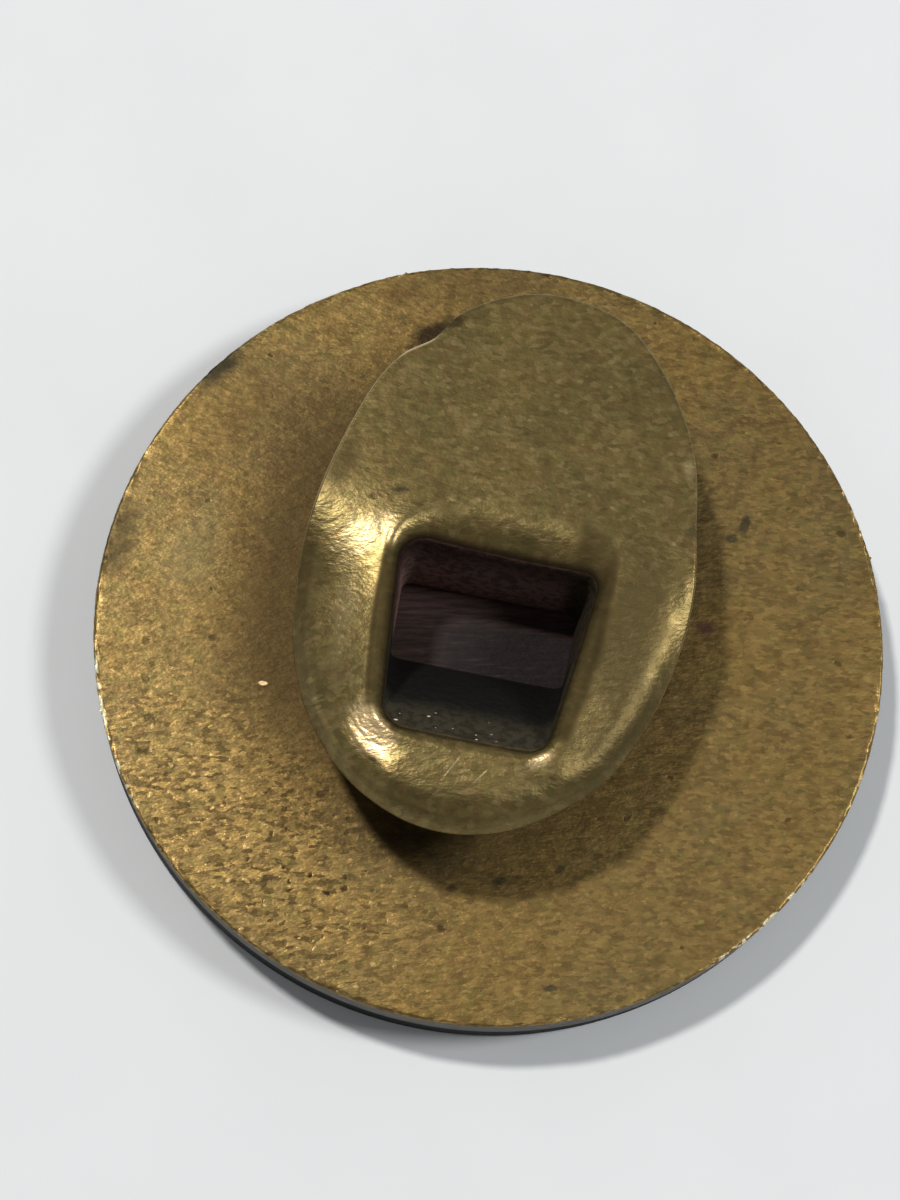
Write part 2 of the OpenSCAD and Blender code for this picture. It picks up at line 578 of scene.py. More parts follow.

# stains on the plate, with painted shade: the first shade row is the shadow round the foot's left side,
# with dirt round the foot, the second is the shadow of the toe, the third darkens the top of the plate, and
# the last soot row is painted shade under the heel
plateStainsAndShade = [
    # x, y, half length, half width, turn, softness, raggedness, strength, tint
    # painted shadow round the foot's left side, with dirt round the foot
    (-1.4, 1.0, 9.0, 10.6, 0, 0.42, 0.15, 0.85, "shade"),
    # painted shadow of the toe
    (-8.9, 5.6, 2.8, 4.8, -35, 0.9, 0.3, 0.5, "shade"),
    (-2.5, 11.6, 4.8, 2.2, 5, 0.9, 0.3, 0.55, "shade"),
    (-10.3, 7.0, 1.4, 0.75, 48, 0.7, 0.4, 0.85, "smudge"),
    (-12.1, 0.8, 2.0, 0.8, 88, 0.8, 0.4, 0.6, "smudge"),
    (-9.8, 0.6, 2.6, 1.5, 80, 0.9, 0.4, 0.4, "green"),
    (7.35, 5.2, 0.45, 0.22, 80, 0.5, 0.4, 0.8, "smudge"),
    (7.0, 4.65, 0.28, 0.2, 30, 0.5, 0.4, 0.8, "smudge"),
    (6.62, 1.53, 0.5, 0.35, 0, 0.8, 0.3, 0.8, "purple"),
    (-3.6, 9.65, 1.35, 0.45, 40, 0.6, 0.4, 0.8, "soot"),
    (-5.1, 10.7, 1.3, 0.5, 20, 0.9, 0.4, 0.4, "brown"),
    (1.64, -7.8, 0.28, 0.18, 20, 0.5, 0.4, 0.8, "smudge"),
    (3.4, -7.1, 0.25, 0.16, 60, 0.5, 0.4, 0.7, "smudge"),
    (3.75, -10.8, 0.3, 0.16, 20, 0.5, 0.4, 0.8, "smudge"),
    # a painted glint on the plate
    (-6.74, -3.07, 0.16, 0.08, 5, 0.3, 0.1, 1.0, "bright"),
    # painted shade under the heel of the foot
    (-1.2, -7.3, 2.6, 1.2, -20, 0.8, 0.2, 0.45, "soot"),
]

# where the plate's edge is worn bright, with painted glints of light on its rounded edge
plateWearAndGlints = [
    # x, y, half length, half width, turn, softness, raggedness
    (-11.1, -5.4, 3.2, 1.5, 116, 0.5, 0.0),
    (10.0, -7.5, 2.8, 1.5, 50, 0.5, 0.0),
]

# stains on the foot; the dull rows darken the right ring, its lower right and the toe's left edge above the
# crease, and damp the highlights there
footMarks = [
    # x, y, half length, half width, turn, softness, raggedness, strength, tint
    (4.0, -0.6, 4.6, 1.5, 88, 0.6, 0.3, 0.75, "dull"),
    (3.2, -4.9, 1.8, 1.3, -40, 0.8, 0.3, 0.5, "dull"),
    (4.5, -3.2, 1.8, 0.8, 60, 0.8, 0.3, 0.6, "dull"),
    (-3.1, 8.6, 0.6, 0.35, 40, 0.7, 0.4, 0.7, "soot"),
    (-3.7, 2.6, 0.42, 0.15, 10, 0.8, 0.5, 0.75, "smudge"),
    (-4.5, 2.25, 0.2, 0.12, 40, 0.8, 0.5, 0.6, "smudge"),
    (-2.85, -5.8, 0.24, 0.13, 40, 0.5, 0.3, 0.8, "smudge"),
    (5.3, 3.1, 0.4, 0.3, 10, 0.7, 0.3, 0.5, "smudge"),
    (4.9, 5.2, 0.3, 0.5, 10, 0.9, 0.4, 0.3, "pale"),
    (-5.7, 3.1, 1.7, 0.9, 72, 0.8, 0.3, 0.8, "dull"),
    (3.9, -4.0, 2.0, 0.7, 62, 0.9, 0.3, 0.6, "dull"),
]

# where the foot is worn bright, with painted highlights where the key light shines: at the upper and lower
# left of the mouth and at its lower right corner
wornAndHighlightMarks = [
    # x, y, half length, half width, turn, softness, raggedness, strength, tint
    (-4.4, 1.1, 1.4, 0.85, 32, 0.8, 0.6, 0.35, "pale"),
    (-4.6, -1.6, 0.6, 2.4, 4, 0.9, 0.4, 0.15, "pale"),
    (-3.2, -5.0, 1.3, 0.7, -52, 0.7, 0.5, 0.95, "bright"),
    (1.95, -4.98, 0.62, 0.24, 38, 0.9, 0.4, 0.9, "bright"),
    (-0.6, -5.7, 0.5, 0.035, 62, 0.5, 0.1, 0.7, "pale"),
    (0.3, -5.8, 0.45, 0.03, 55, 0.5, 0.1, 0.6, "pale"),
]

plateFinish = {
    "grainLength": 0.34,    # mm
    "grainWidth": 0.16,
    "bump": 0.025,          # mm
    "blotches": 0.32,       # strength
    "metallic": 0.8,
    "roughness": 0.38,
    "brightRoughness": 0.31,
    "stainRoughness": 0.15,     # added to it
    "wearAndGlintEdge": (12.37, 12.43),     # mm from the middle, where the wear and the painted glints fade in
    # half length and half width of the floor of the post, turn, softness, raggedness
    "floor": (3.0, 1.35, 0, 0.03, 0.0),
    # areas: x, y, half length, half width, turn, softness, raggedness
    "scoured": (-6.2, -7.9, 9.4, 5.0, -40, 0.9, 0.3),
    "pitted": (-4.6, -8.6, 5.6, 3.2, -30, 0.9, 0.3),
    "grimeAndShadeUnderFoot": (-0.3, -1.2, 5.2, 5.6, 0, 0.6, 0.15),
    # the patch of the floor that the key light reaches, painted dark
    "litPatchShade": (1.25, -0.95, 3.3, 1.4, 0, 0.3, 0.1),
}
plateTones = {
    "base": colour(130, 111, 70),
    "warm": colour(144, 118, 68),
    "scoured": colour(172, 140, 80),
    "mottleDark": colour(96, 78, 46),
    "mottleLight": colour(170, 142, 88),
    "grainDark": colour(80, 63, 38),
    "grainLight": colour(204, 167, 98),
    "grains": colour(216, 181, 116),
    "pit": colour(50, 38, 26),
    "side": colour(62, 55, 42),
    "wearAndGlint": colour(226, 218, 180),
    "grimeAndShade": colour(52, 40, 28),
}
# soot on the floor of the hollow post, painted lighter towards the toe, where it lies in shade, and painted
# dark where the key light falls on it
floorTones = {
    "left": colour(68, 51, 43),
    "right": colour(64, 50, 48),
    "toe": colour(94, 72, 66),
    "litPatchShade": colour(38, 27, 25),
    "scratchDark": colour(18, 13, 13),
    "scratchLight": colour(110, 96, 88),
}
# and on its walls: painted lighter low down, where they lie deep in shade, with painted shade on the heel
# side and painted glints near its lip
wallTones = {
    "low": colour(150, 118, 108),
    "high": colour(66, 46, 40),
    "right": colour(60, 52, 36),
    "heel": colour(23, 21, 19),
    "heelHigh": colour(62, 57, 43),
    "cloud": colour(16, 13, 13),
    "glint": colour(235, 228, 196),
    "outside": colour(58, 46, 28),      # dull brass, outside the post
}


def hollowFloor(tree, spots, parts):
    # soot on the floor of the hollow post, painted lighter where it lies in shade and darkest where most
    # light falls on it, and its mask
    p, t = plateFinish, floorTones
    inside = markAt(tree, spots, (foot["mouthX"], foot["baseY"], *p["floor"]), squareness=8.0)
    litPatchShade = markAt(tree, spots, p["litPatchShade"], squareness=5.0)
    scratch = grainOver(tree, spots, 1.0, 0.1, seed=7.0)
    soot = blendColour(tree, ramp(tree, parts[0], -2.6, 1.6), t["left"], t["right"])
    soot = blendColour(tree, ramp(tree, parts[1], -0.3, 0.9), soot, t["toe"])
    soot = blendColour(tree, litPatchShade, soot, t["litPatchShade"])
    soot = blendColour(tree, ramp(tree, scratch["Height"], 0.35, 0.6, 0.6, 0.0), soot, t["scratchDark"])
    soot = blendColour(tree, times(tree, scratch["Fleck"], 0.2), soot, t["scratchLight"])
    return soot, inside


def makePlateBrass():
    p, t = plateFinish, plateTones
    material, tree, shader, spots = newMaterial("plateBrass")
    parts = split(tree, spots)
    over = sums(tree, "SUBTRACT", parts[2], plateTop / mm)      # height over the plate
    grain = grainOver(tree, spots, p["grainLength"], p["grainWidth"])
    broad = noise(tree, spots, 0.28, 4.0)["Fac"]
    mottle = noise(tree, spots, 2.4, 2.0)["Fac"]
    tone = blendColour(tree, ramp(tree, broad, 0.35, 0.65), t["base"], t["warm"])
    # the lower left of the plate is scoured bright
    scoured = markAt(tree, spots, p["scoured"])
    tone = blendColour(tree, times(tree, scoured, 0.35), tone, t["scoured"])
    tone = blendColour(tree, ramp(tree, mottle, 0.5, 0.36, 0.0, 0.4), tone, t["mottleDark"])
    tone = blendColour(tree, ramp(tree, mottle, 0.55, 0.7, 0.0, 0.35), tone, t["mottleLight"])
    tone = addBlotches(tree, spots, tone, p["blotches"])
    dark = most(tree, grain["Pit"], ramp(tree, grain["Patch"], 0.42, 0.05))
    dark = times(tree, dark, ramp(tree, scoured, 0.0, 1.0, 0.3, 0.75))
    tone = blendColour(tree, dark, tone, t["grainDark"])
    light = most(tree, grain["Fleck"], ramp(tree, grain["Patch"], 0.62, 0.98))
    light = times(tree, light, ramp(tree, scoured, 0.0, 1.0, 0.22, 0.6))
    tone = blendColour(tree, light, tone, t["grainLight"])
    # small rounded grains, close together where it is scoured
    ragged = astray(tree, spots, noise(tree, spots, 3.0, 2.0)["Color"], 0.35)
    grains = pitsOver(tree, ragged, 0.33, 0.17, 0.5, 1.7)
    grains = times(tree, grains, ramp(tree, scoured, 0.0, 0.8, 0.2, 0.65))
    tone = blendColour(tree, grains, tone, t["grains"])
    # stains and painted shade; the strongest of them is made rougher
    tone, stain = addMarks(tree, spots, plateStainsAndShade, tone)
    # pits, many at the lower left and a few all over
    many = times(tree, pitsOver(tree, ragged, 0.46, 0.15, 0.42, 1.3), markAt(tree, spots, p["pitted"]))
    few = pitsOver(tree, ragged, 1.3, 0.1, 0.26)
    pits = most(tree, many, times(tree, few, 0.7))
    tone = blendColour(tree, times(tree, pits, 0.85), tone, t["pit"])
    # bright wear and painted glints in dashes along two stretches of the rounded edge
    fromMiddle = vectors(tree, "LENGTH", vectors(tree, "MULTIPLY", spots, (1, 1, 0))[0])["Value"]
    edge = times(tree, ramp(tree, fromMiddle, *p["wearAndGlintEdge"]), ramp(tree, over, -0.12, -0.07))
    zones = most(tree, *[markAt(tree, spots, area) for area in plateWearAndGlints])
    dashes = ramp(tree, noise(tree, spots, 4.0, 1.0)["Fac"], 0.52, 0.56)
    wearAndGlint = times(tree, times(tree, edge, zones), dashes)
    side = ramp(tree, over, -0.06, -0.11)
    tone = blendColour(tree, side, tone, t["side"])
    tone = blendColour(tree, wearAndGlint, tone, t["wearAndGlint"])
    # grime and painted shade under the foot, darkest round the post
    tone = blendColour(tree, times(tree, markAt(tree, spots, p["grimeAndShadeUnderFoot"]), 0.75), tone, t["grimeAndShade"])
    soot, inside = hollowFloor(tree, spots, parts)
    tone = blendColour(tree, inside, tone, soot)
    raised = sums(tree, "ADD", grain["Height"], times(tree, grains, 0.15))
    bump = bumpFrom(tree, sums(tree, "SUBTRACT", raised, times(tree, pits, 0.25)), p["bump"])
    rough = sums(tree, "ADD", ramp(tree, light, 0.0, 1.0, p["roughness"], p["brightRoughness"]),
                 times(tree, most(tree, stain, inside), p["stainRoughness"]))
    metal = ramp(tree, most(tree, inside, side), 0.0, 1.0, p["metallic"], 0.0)
    metal = sums(tree, "SUBTRACT", metal, times(tree, wearAndGlint, 0.5), clamp=True)
    fill(tree, shader, {
        "Base Color": tone, "Metallic": metal, "Roughness": rough,
        "Specular IOR Level": 0.2, "Normal": bump,
    })
    return material


footFinish = {
    "grainLength": 0.36,    # mm
    "grainWidth": 0.22,
    "bump": 0.032,          # mm
    "blotches": 0.35,       # strength
    "metallic": 0.85,
    "roughness": 0.37,
    "sootRoughness": 0.7,
    "stainRoughness": 0.12,     # added to it
    "wornRoughness": 0.08,      # taken from it
    # where a highlight is painted on the toe's cut edge: x, y, half length, half width, turn, softness,
    # raggedness
    "cutEdgeHighlight": (-4.1, 7.5, 1.1, 0.5, 42, 0.7, 0.3),
}
footTones = {
    "base": colour(127, 112, 70),
    "warm": colour(140, 121, 74),
    "mottleDark": colour(96, 84, 52),
    "mottleLight": colour(168, 148, 98),
    "pit": colour(88, 74, 46),
    "patchDark": colour(90, 78, 48),
    "patchLight": colour(180, 158, 108),
    "fleck": colour(190, 172, 120),
    "lip": colour(60, 50, 29),
    "seam": colour(44, 28, 22),
}


def wallSootAndLight(tree, spots, parts, over):
    # soot on the walls of the hollow post, painted lighter low down where they lie in shade, and painted
    # shade on the heel side, with dull greenish metal high on it and painted glints there
    t = wallTones
    heelWall = ramp(tree, parts[1], -1.1, -1.7)
    high = times(tree, heelWall, ramp(tree, over, 2.7, 3.6))
    cloud = noise(tree, spots, 4.0, 3.0)["Fac"]
    soot = blendColour(tree, ramp(tree, over, 1.2, 3.8), t["low"], t["high"])
    soot = blendColour(tree, ramp(tree, parts[0], 1.6, 2.4), soot, t["right"])
    soot = blendColour(tree, heelWall, soot, t["heel"])
    soot = blendColour(tree, high, soot, t["heelHigh"])
    soot = blendColour(tree, ramp(tree, cloud, 0.55, 0.4, 0.0, 0.45), soot, t["cloud"])
    glints = times(tree, pitsOver(tree, spots, 0.26, 0.1, 0.5, 2.2), ramp(tree, parts[0], 1.2, -0.4))
    glints = times(tree, glints, ramp(tree, high, 0.6, 0.9))
    return blendColour(tree, glints, soot, t["glint"]), cloud


def lipGrimeAndShade(tree, share, parts, worn):
    # grime rubbed into the soft lip, with painted shade where the lip rolls into the hollow, which also
    # damps the highlights along it; none where it is worn or painted bright, nor at the heel
    left = times(tree, ramp(tree, share, 0.18, 0.1), ramp(tree, parts[1], 1.1, 0.5))
    left = times(tree, left, ramp(tree, parts[0], -2.4, -3.0))
    right = times(tree, ramp(tree, share, 0.26, 0.1), ramp(tree, parts[0], 1.4, 2.2))
    right = times(tree, right, ramp(tree, parts[1], -4.6, -4.1))
    lip = times(tree, ramp(tree, share, 0.05, 0.0), less(tree, worn))
    return times(tree, most(tree, lip, most(tree, left, right)), ramp(tree, parts[1], -4.8, -4.2))


def makeFootBrass():
    p, t = footFinish, footTones
    material, tree, shader, spots = newMaterial("footBrass")
    parts = split(tree, spots)
    over = sums(tree, "SUBTRACT", parts[2], plateTop / mm)      # height over the plate
    share = addNode(tree, "ShaderNodeAttribute", attribute_name="share").outputs["Fac"]
    inner = addNode(tree, "ShaderNodeAttribute", attribute_name="inner").outputs["Fac"]
    grain = grainOver(tree, spots, p["grainLength"], p["grainWidth"], seed=3.0)
    broad = noise(tree, spots, 0.45, 5.0)["Fac"]
    mottle = noise(tree, spots, 2.6, 2.0)["Fac"]
    tone = blendColour(tree, ramp(tree, broad, 0.35, 0.65), t["base"], t["warm"])
    tone = addBlotches(tree, spots, tone, p["blotches"])
    tone = blendColour(tree, ramp(tree, mottle, 0.5, 0.36, 0.0, 0.3), tone, t["mottleDark"])
    tone = blendColour(tree, ramp(tree, mottle, 0.55, 0.72, 0.0, 0.35), tone, t["mottleLight"])
    tone = blendColour(tree, times(tree, grain["Pit"], 0.2), tone, t["pit"])
    tone = blendColour(tree, ramp(tree, grain["Patch"], 0.35, 0.0, 0.0, 0.3), tone, t["patchDark"])
    tone = blendColour(tree, ramp(tree, grain["Patch"], 0.65, 1.0, 0.0, 0.3), tone, t["patchLight"])
    flecks = pitsOver(tree, spots, 0.6, 0.12, 0.3)
    tone = blendColour(tree, times(tree, flecks, 0.35), tone, t["fleck"])
    tone, stain = addMarks(tree, spots, footMarks, tone)
    # wear and painted highlights on the foot
    tone, worn = addMarks(tree, spots, wornAndHighlightMarks, tone)
    # painted shade in a band along the turned-down rim, and a painted highlight on the cut edge round the
    # toe
    heelSide = ramp(tree, parts[1], 2.4, 0.4)
    rimShade = times(tree, times(tree, ramp(tree, share, 0.8, 0.86), heelSide), less(tree, worn))
    tone = blendColour(tree, times(tree, rimShade, 0.45), tone, brassTints["dull"])
    cut = times(tree, ramp(tree, share, 0.975, 0.99), less(tree, heelSide))
    bright = most(tree, markAt(tree, spots, p["cutEdgeHighlight"]), ramp(tree, parts[0], -4.0, -4.8, 0.0, 0.35))
    tone = blendColour(tree, times(tree, cut, bright), tone, brassTints["pale"])
    # grime and painted shade at the lip
    lip = lipGrimeAndShade(tree, share, parts, worn)
    tone = blendColour(tree, times(tree, lip, 0.72), tone, t["lip"])
    # painted shade in a thin line along the fold at the lip
    seam = times(tree, ramp(tree, share, -0.03, 0.0), ramp(tree, share, 0.03, 0.0))
    tone = blendColour(tree, times(tree, seam, 0.6), tone, t["seam"])
    # soot inside the post, with painted light and shade, and dull grimy brass outside it
    below = ramp(tree, share, 0.015, -0.03)
    soot = times(tree, below, ramp(tree, inner, 0.2, 0.8))
    outside = times(tree, sums(tree, "SUBTRACT", below, soot), ramp(tree, over, 3.6, 0.4, 0.3, 0.8))
    tone = blendColour(tree, outside, tone, wallTones["outside"])
    hollowTone, cloud = wallSootAndLight(tree, spots, parts, over)
    tone = blendColour(tree, soot, tone, hollowTone)
    # rougher in the soot, and smoother on the flat toe
    height = sums(tree, "ADD", grain["Height"], times(tree, cloud, times(tree, soot, 2.0)))
    bump = bumpFrom(tree, height, p["bump"], ramp(tree, parts[1], 3.2, 1.8, 0.6, 1.0))
    dull = most(tree, soot, times(tree, lip, 0.9))
    rough = sums(tree, "ADD", ramp(tree, dull, 0.0, 1.0, p["roughness"], p["sootRoughness"]),
                 times(tree, stain, p["stainRoughness"]))
    rough = sums(tree, "SUBTRACT", rough, times(tree, worn, p["wornRoughness"]))
    metal = ramp(tree, soot, 0.0, 1.0, p["metallic"], 0.0)
    fill(tree, shader, {
        "Base Color": tone, "Metallic": metal, "Roughness": rough,
        "Specular IOR Level": 0.2, "Normal": bump,
    })
    return material


gunmetalFinish = {
    "dark": colour(100, 98, 92),
    "light": colour(116, 113, 106),
    "worn": colour(132, 130, 122),
    "contactShade": colour(14, 14, 18),
    "contactShadeLow": 0.3,        # mm, height of the band of painted contact shade at the toe's right
    "contactShadeHigh": 1.1,       # and at the heel's left
    "bump": 0.03,           # mm
    "roughness": 0.65,
}


def makeGunmetal():
    p = gunmetalFinish
    material, tree, shader, spots = newMaterial("gunmetal")
    cloud = noise(tree, spots, 0.8, 5.0)["Fac"]
    tone = blendColour(tree, ramp(tree, cloud, 0.3, 0.7), p["dark"], p["light"])
    worn = ramp(tree, noise(tree, spots, 2.5, 2.0)["Fac"], 0.62, 0.7)
    tone = blendColour(tree, times(tree, worn, 0.3), tone, p["worn"])
    # painted contact shade along its foot, higher up towards the heel's left
    side = vectors(tree, "DOT_PRODUCT", spots, (-0.6, -0.8, 0.0))["Value"]
    line = ramp(tree, side, -4.0, 12.0, p["contactShadeLow"], p["contactShadeHigh"])
    contactShade = ramp(tree, sums(tree, "SUBTRACT", line, split(tree, spots)[2]), -0.05, 0.05)
    tone = blendColour(tree, contactShade, tone, p["contactShade"])
    fill(tree, shader, {
        "Base Color": tone, "Metallic": 0.0, "Roughness": p["roughness"], "Specular IOR Level": 0.1,
        "Normal": bumpFrom(tree, cloud, p["bump"]),
    })
    return material


def makeSolderGrey():
    material, tree, shader, spots = newMaterial("solderGrey")
    cloud = ramp(tree, noise(tree, spots, 2.0, 4.0)["Fac"], 0.3, 0.7)
    tone = blendColour(tree, cloud, colour(120, 110, 84), colour(150, 138, 104))
    fill(tree, shader, {"Base Color": tone, "Metallic": 1.0, "Roughness": 0.5})
    return material


def makePaper():
    material, tree, shader, spots = newMaterial("palePaper")
    fibre = ramp(tree, noise(tree, spots, 0.15, 3.0)["Fac"], 0.3, 0.7)
    tone = blendColour(tree, fibre, (0.87, 0.893, 0.9, 1), (0.89, 0.913, 0.92, 1))
    fill(tree, shader, {"Base Color": tone, "Roughness": 0.85, "Specular IOR Level": 0.2})
    return material


# Brass plate

plate = {
    "thick": 0.3,           # mm
    "radius": 12.5,
    "edgeRound": 0.1,
    "edgeSteps": 4,
    "rimPoints": 512,
    "nicks": 0.03,          # mm, wear along the top edge
}
plateTop = brassLow.z + plate["thick"] * mm


def makePlate():
    p = plate
    obj = roundSheet(p["radius"], plateTop, p["rimPoints"])
    extrudeDown(p["thick"] * mm)
    faceOutwards()
    # the top edge is rounded, and worn a little uneven
    rim = (p["radius"] - 0.005) * mm
    pickEdges(obj, lambda e: all(v.co.xy.length > rim and v.co.z > -tiny for v in e.verts))
    bpy.ops.mesh.bevel(offset=p["edgeRound"] * mm, segments=p["edgeSteps"], profile=0.5)
    bend, low = rim - p["edgeRound"] * mm, -0.9 * p["thick"] * mm
    pickVerts(obj, lambda v: v.co.xy.length > bend and v.co.z > low)
    bpy.ops.transform.vertex_random(offset=p["nicks"] * mm, seed=4)
    pickVerts(obj, lambda v: v.co.xy.length > p["radius"] * mm)
    bpy.ops.mesh.vertices_smooth(factor=0.5, repeat=1)
    endEdit()
    place(obj, "backPlate")
    bpy.ops.object.shade_smooth_by_angle(angle=math.radians(50))
    return obj


# Foot and hollow post, drawn from one sheet

foot = {
    "sheet": 0.4,           # mm
    "baseWidth": 5.95,      # the middle of the sheet, at the plate
    "baseLength": 2.7,
    "baseY": -0.15,
    "baseCorner": 0.5,
    "seat": 0.1,            # how deep it stands in the plate
    "mouthX": -0.27,
    "mouthY": -1.8,
    "rimHalfWidth": 5.98,
    "rimToe": 9.64,
    "rimHeel": 8.06,
    "rimX": -0.28,
    "rimY": 0.67,
    "rimTurn": -4.05,
    "crest": 4.1,           # above the plate, to the middle of the sheet
    "creaseY": 1.7,         # where the flat toe begins
    "toeFall": 5.2,         # degrees
    "rimRound": 0.09,       # mm
    "easing": 3.0,          # mm, how far the flat toe draws the rim up before the crease
    "ringShare": 0.2,       # share of the way out that is kept from it
    "toeShare": 0.12,       # share of the way out where the flat toe begins
}
# corners of the lip, in the middle of the sheet: toe left, toe right, heel left, heel right
mouthCorners = [
    # x, y, radius
    (-3.62, 1.52, 1.15),
    (3.08, 1.37, 0.8),
    (-3.08, -4.93, 0.9),
    (2.22, -4.93, 0.75),
]
# how far the middle of the sheet lies under the crest, from the lip (0) out to the rim (1), on each side
footProfile = [
    # share, toe, left, heel, right
    (0, 0.48, 0.25, 0.12, 0.12),
    (0.05, 0.24, 0.02, 0.02, 0.02),
    (0.10, 0.09, 0.06, 0.00, 0.00),
    (0.16, 0.02, 0.13, 0.01, 0.01),
    (0.30, 0.00, 0.31, 0.03, 0.05),
    (0.50, 0.00, 0.58, 0.06, 0.11),
    (0.65, 0.00, 0.79, 0.11, 0.15),
    (0.76, 0.00, 0.94, 0.21, 0.23),
    (0.84, 0.00, 1.13, 0.33, 0.33),
    (0.92, 0.00, 1.34, 0.52, 0.48),
    (1, 0.00, 1.55, 0.82, 0.64),
]
sideTurns = (90, 180, 270, 0)      # degrees: toe, left, heel, right
# half the angle over which each side passes into the next one round, from toe to left on
sideBlends = (30, 20, 30, 30)
# height of the post's wall against how far it has spread from its base (0) to the lip (1)
postProfile = [(0, 0), (0.12, 0.22), (0.34, 0.48), (0.62, 0.72), (0.87, 0.90), (1, 1)]
postRows, footRows = 8, 30
# pulls on the ring round the mouth
ringPulls = [
    # x, y, lift, reach
    (-3.2, 1.4, 0.14, 1.9),
    (-4.1, -5.4, 0.14, 1.5),
    (2.5, -5.05, 0.08, 0.9),
]
# pulls on the rim before the sheet is shaped
rimPulls = [
    # x, y, move in x, move in y, reach
    (-3.5, 8.1, 0.16, -0.24, 1.1),
    (-5.1, 6.2, -0.1, 0.06, 2.2),
    (5.5, 3.2, -0.15, 0.0, 2.4),
    (2.3, 9.8, 0.05, 0.09, 1.8),
    (3.9, -5.2, 0.07, -0.07, 2.0),
]


def pickShare(obj, test):
    # selects the points whose share of the way out and place pass the test
    layer = bmesh.from_edit_mesh(obj.data).verts.layers.float["share"]
    pickVerts(obj, lambda v: test(v[layer], v.co))


def lowerSide(obj, row, side, drop):
    # lowers one row by the whole drop along a side, and by less and less round to the next sides
    middle = Vector((foot["mouthX"], foot["mouthY"])) * mm
    a = math.radians(sideTurns[side])
    along, across = Vector((math.cos(a), math.sin(a))), Vector((-math.sin(a), math.cos(a)))
    steps = 16
    for k in range(steps):
        fade = 1 - 2 * (k + 0.5) / steps
        ahead, behind = 45 + fade * sideBlends[side], 45 + fade * sideBlends[side - 1]

        def within(share, co):
            out = co.xy - middle
            turn = math.degrees(math.atan2(out.dot(across), out.dot(along)))
            return abs(share - row) < 0.001 and -behind < turn < ahead

        pickShare(obj, within)
        bpy.ops.transform.translate(value=(0, 0, -drop / steps * mm))


def facesIn(v, share):
    # 1 where a point of the sheet faces the hollow or the top, 0 where it faces the plate or outwards
    if share > 0:
        return float(v.normal.z > 0)
    up = (v.co.z - plateTop) / (foot["crest"] * mm)
    middle = Vector((foot["mouthX"], foot["baseY"] + (foot["mouthY"] - foot["baseY"]) * up)) * mm
    return float(v.normal.xy.dot(v.co.xy - middle) < 0)


def netOfSheet():
    # the post's base, the lip and the rim lie on three levels, and rows of faces join them
    f = foot
    corners = boxCorners(f["baseWidth"], f["baseLength"], f["mouthX"], f["baseY"], f["baseCorner"])
    base = squareLoop(-1, corners)
    lip = squareLoop(0, mouthCorners)
    rim = ovalLoop(f["rimHalfWidth"], f["rimToe"], f["rimHeel"], f["rimX"], f["rimY"], 1, f["rimTurn"])
    startEdit(rim)
    for x, y, moveX, moveY, reach in rimPulls:
        pickNearest(rim, x, y)
        pull((moveX, moveY, 0), reach)
    endEdit()
    obj = joinAll([base, lip, rim])
    startEdit(obj)
    bridgeLevels(obj, -1, 0, postRows - 1)
    bridgeLevels(obj, 0, 1, footRows - 1)
    endEdit()
    # share of the way: -1 at the base of the post, 0 at the lip, 1 at the rim
    share = obj.data.attributes.new("share", "FLOAT", "POINT")
    share.data.foreach_set("value", [v.co.z / mm for v in obj.data.vertices])
    return obj


def liftRows(obj):
    # brings each row to its height, and then pulls up the ring round the mouth
    crestZ = plateTop / mm + foot["crest"]
    baseZ = plateTop / mm - foot["seat"]
    for i in range(postRows + footRows + 1):
        at = (i - postRows) / (postRows if i < postRows else footRows)
        rise = lineThrough(postProfile, min(1 + at, 1))
        pickShare(obj, lambda share, co: abs(share - at) < 0.001)
        bpy.ops.transform.translate(value=(0, 0, (baseZ + rise * (crestZ - baseZ) - at) * mm))
        for side in range(4):
            drops = [(row[0], row[1 + side]) for row in footProfile]
            lowerSide(obj, at, side, rise * lineThrough(drops, max(at, 0)))
    for x, y, lift, reach in ringPulls:
        pickNearest(obj, x, y)
        pull((0, 0, lift), reach)


def smoothHeights(obj, repeat, test):
    # evens out the heights round the crease where the places pass the test
    pickShare(obj, lambda share, co: share > foot["toeShare"] and test(co.x / mm, co.y / mm))
    bpy.ops.mesh.vertices_smooth(factor=0.5, repeat=repeat, xaxis=False, yaxis=False, zaxis=True)


def bendToe(obj):
    # the toe is flat, and the rim by the crease is drawn up to it
    f = foot
    crease = f["creaseY"]
    hinge = (0, crease * mm, plateTop + f["crest"] * mm)
    pickShare(obj, lambda share, co: share < f["ringShare"])
    bpy.ops.mesh.hide()
    pickVerts(obj, lambda v: v.co.y > crease * mm)
    bpy.ops.transform.resize(value=(1, 1, 0), center_override=hinge, use_proportional_edit=True,
                             proportional_edit_falloff="SMOOTH", proportional_size=f["easing"] * mm)
    bpy.ops.mesh.reveal(select=False)
    smoothHeights(obj, 8, lambda x, y: -2.0 < y < crease)
    pickShare(obj, lambda share, co: co.y > crease * mm and share > f["toeShare"])
    bpy.ops.transform.resize(value=(1, 1, 0), center_override=hinge)
    # and it falls away from there
    bpy.ops.transform.rotate(value=math.radians(f["toeFall"]), orient_axis="X", center_override=hinge)
    # the crease is soft, most of all at the left
    smoothHeights(obj, 3, lambda x, y: abs(y - crease) < 0.4)
    smoothHeights(obj, 8, lambda x, y: x < -2.2 and abs(y - crease) < 1.8)


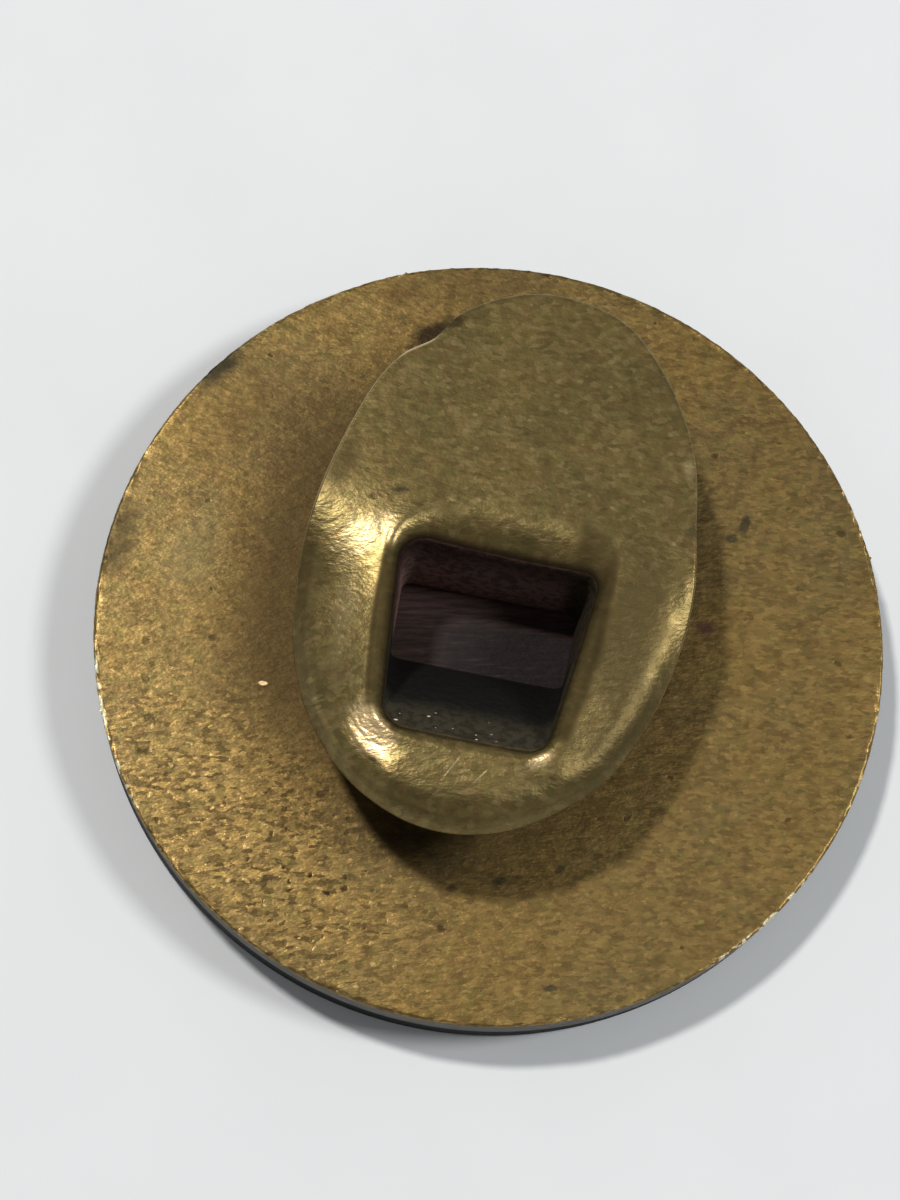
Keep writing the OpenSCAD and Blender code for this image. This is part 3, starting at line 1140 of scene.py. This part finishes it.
def thickenSheet(obj):
    thick = obj.modifiers.new("sheet", "SOLIDIFY")
    thick.thickness = foot["sheet"] * mm
    thick.offset = 0
    thick.use_even_offset = True
    applyAll(obj)
    # the inner and upper side of the sheet is marked, for its finish
    inner = obj.data.attributes.new("inner", "FLOAT", "POINT")
    shares = [s.value for s in obj.data.attributes["share"].data]
    inner.data.foreach_set("value", [facesIn(v, at) for v, at in zip(obj.data.vertices, shares)])


def roundRim(obj):
    # the cut edge of the sheet is worn round at both its corners
    startEdit(obj)
    layer = bmesh.from_edit_mesh(obj.data).verts.layers.float["share"]

    def onRim(part):
        return all(v[layer] > 0.999 for v in part.verts)

    pickEdges(obj, lambda e: onRim(e) and [onRim(face) for face in e.link_faces].count(True) == 1)
    bpy.ops.mesh.bevel(offset=foot["rimRound"] * mm, segments=2, profile=0.5)
    endEdit()


def makeFoot():
    obj = netOfSheet()
    startEdit(obj)
    liftRows(obj)
    bendToe(obj)
    faceOutwards()
    endEdit()
    thickenSheet(obj)
    roundRim(obj)
    subdivideSmoothly(obj)
    place(obj, "postAndFoot")
    bpy.ops.object.shade_smooth()
    return obj


# Front disc

disc = {
    "radius": 12.42,        # mm
    "bevelWide": 0.3,
    "bevelHigh": 0.3,
    "bevelSteps": 6,
    "rimPoints": 256,
}


def makeFrontDisc():
    d = disc
    obj = roundSheet(d["radius"], faceHigh.z, d["rimPoints"])
    extrudeDown(faceHigh.z - faceLow.z - d["bevelHigh"] * mm)
    # the front edge curves in, step by step
    turns = [math.radians(90 * k / d["bevelSteps"]) for k in range(d["bevelSteps"] + 1)]
    for a, b in zip(turns, turns[1:]):
        small = d["radius"] - d["bevelWide"] * (1 - math.cos(b))
        large = d["radius"] - d["bevelWide"] * (1 - math.cos(a))
        extrudeDown(d["bevelHigh"] * (math.sin(b) - math.sin(a)) * mm)
        bpy.ops.transform.resize(value=(small / large, small / large, 1), center_override=(0, 0, 0))
    faceOutwards()
    endEdit()
    place(obj, "frontDisc")
    bpy.ops.object.shade_smooth_by_angle(angle=math.radians(40))
    return obj


# Solder round the foot of the post

solder = {
    "reach": 0.45,      # mm, out on the plate
    "climb": 0.4,       # up the post
    "edgeDepth": 0.02,  # of its outer edge in the plate
    "rootDepth": 0.05,  # of its inner edge in the plate
    # how much wider than the middle of the sheet its upper and its inner edge are
    "upperGrow": 0.44,
    "innerGrow": 0.1,
}


def makeSolder():
    s, f = solder, foot
    top = plateTop / mm
    outerZ, upperZ, innerZ = top - s["edgeDepth"], top + s["climb"], top - s["rootDepth"]

    def loop(grow, z, radius):
        width, length = f["baseWidth"] + grow, f["baseLength"] + grow
        return squareLoop(z, boxCorners(width, length, f["mouthX"], f["baseY"], radius))

    obj = joinAll([
        loop(f["sheet"] + 2 * s["reach"], outerZ, f["baseCorner"] + s["reach"]),
        loop(s["upperGrow"], upperZ, f["baseCorner"]),
        loop(s["innerGrow"], innerZ, f["baseCorner"]),
    ])
    startEdit(obj)
    bridgeLevels(obj, outerZ, upperZ, 3)
    bridgeLevels(obj, upperZ, innerZ, 1)
    bridgeLevels(obj, innerZ, outerZ, 1)
    faceOutwards()
    endEdit()
    subdivideSmoothly(obj)
    place(obj, "solderFillet")
    bpy.ops.object.shade_smooth()
    return obj


# Paper

paperSize = 1.2         # m


def makeFloor():
    pickNothing()
    bpy.ops.mesh.primitive_plane_add(size=paperSize, location=(0, 0, 0))
    floor = place(bpy.context.object, "paperFloor")
    floor.data.materials.append(makePaper())


# The whole scene

addCamera(plateTop)
addLights()
makeFloor()
print("camera, lights and floor ready")

pieces = [
    (makePlate, makePlateBrass, "brass"),
    (makeFoot, makeFootBrass, "brass"),
    (makeSolder, makeSolderGrey, "brass"),
    (makeFrontDisc, makeGunmetal, "dark_metal"),
]
for make, finish, slot in pieces:
    piece = make()
    piece.data.materials.append(finish())
    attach(piece, "root")
    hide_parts("front_disc" if slot == "dark_metal" else "brass_back")
    print(piece.name, "made:", len(piece.data.vertices), "points")
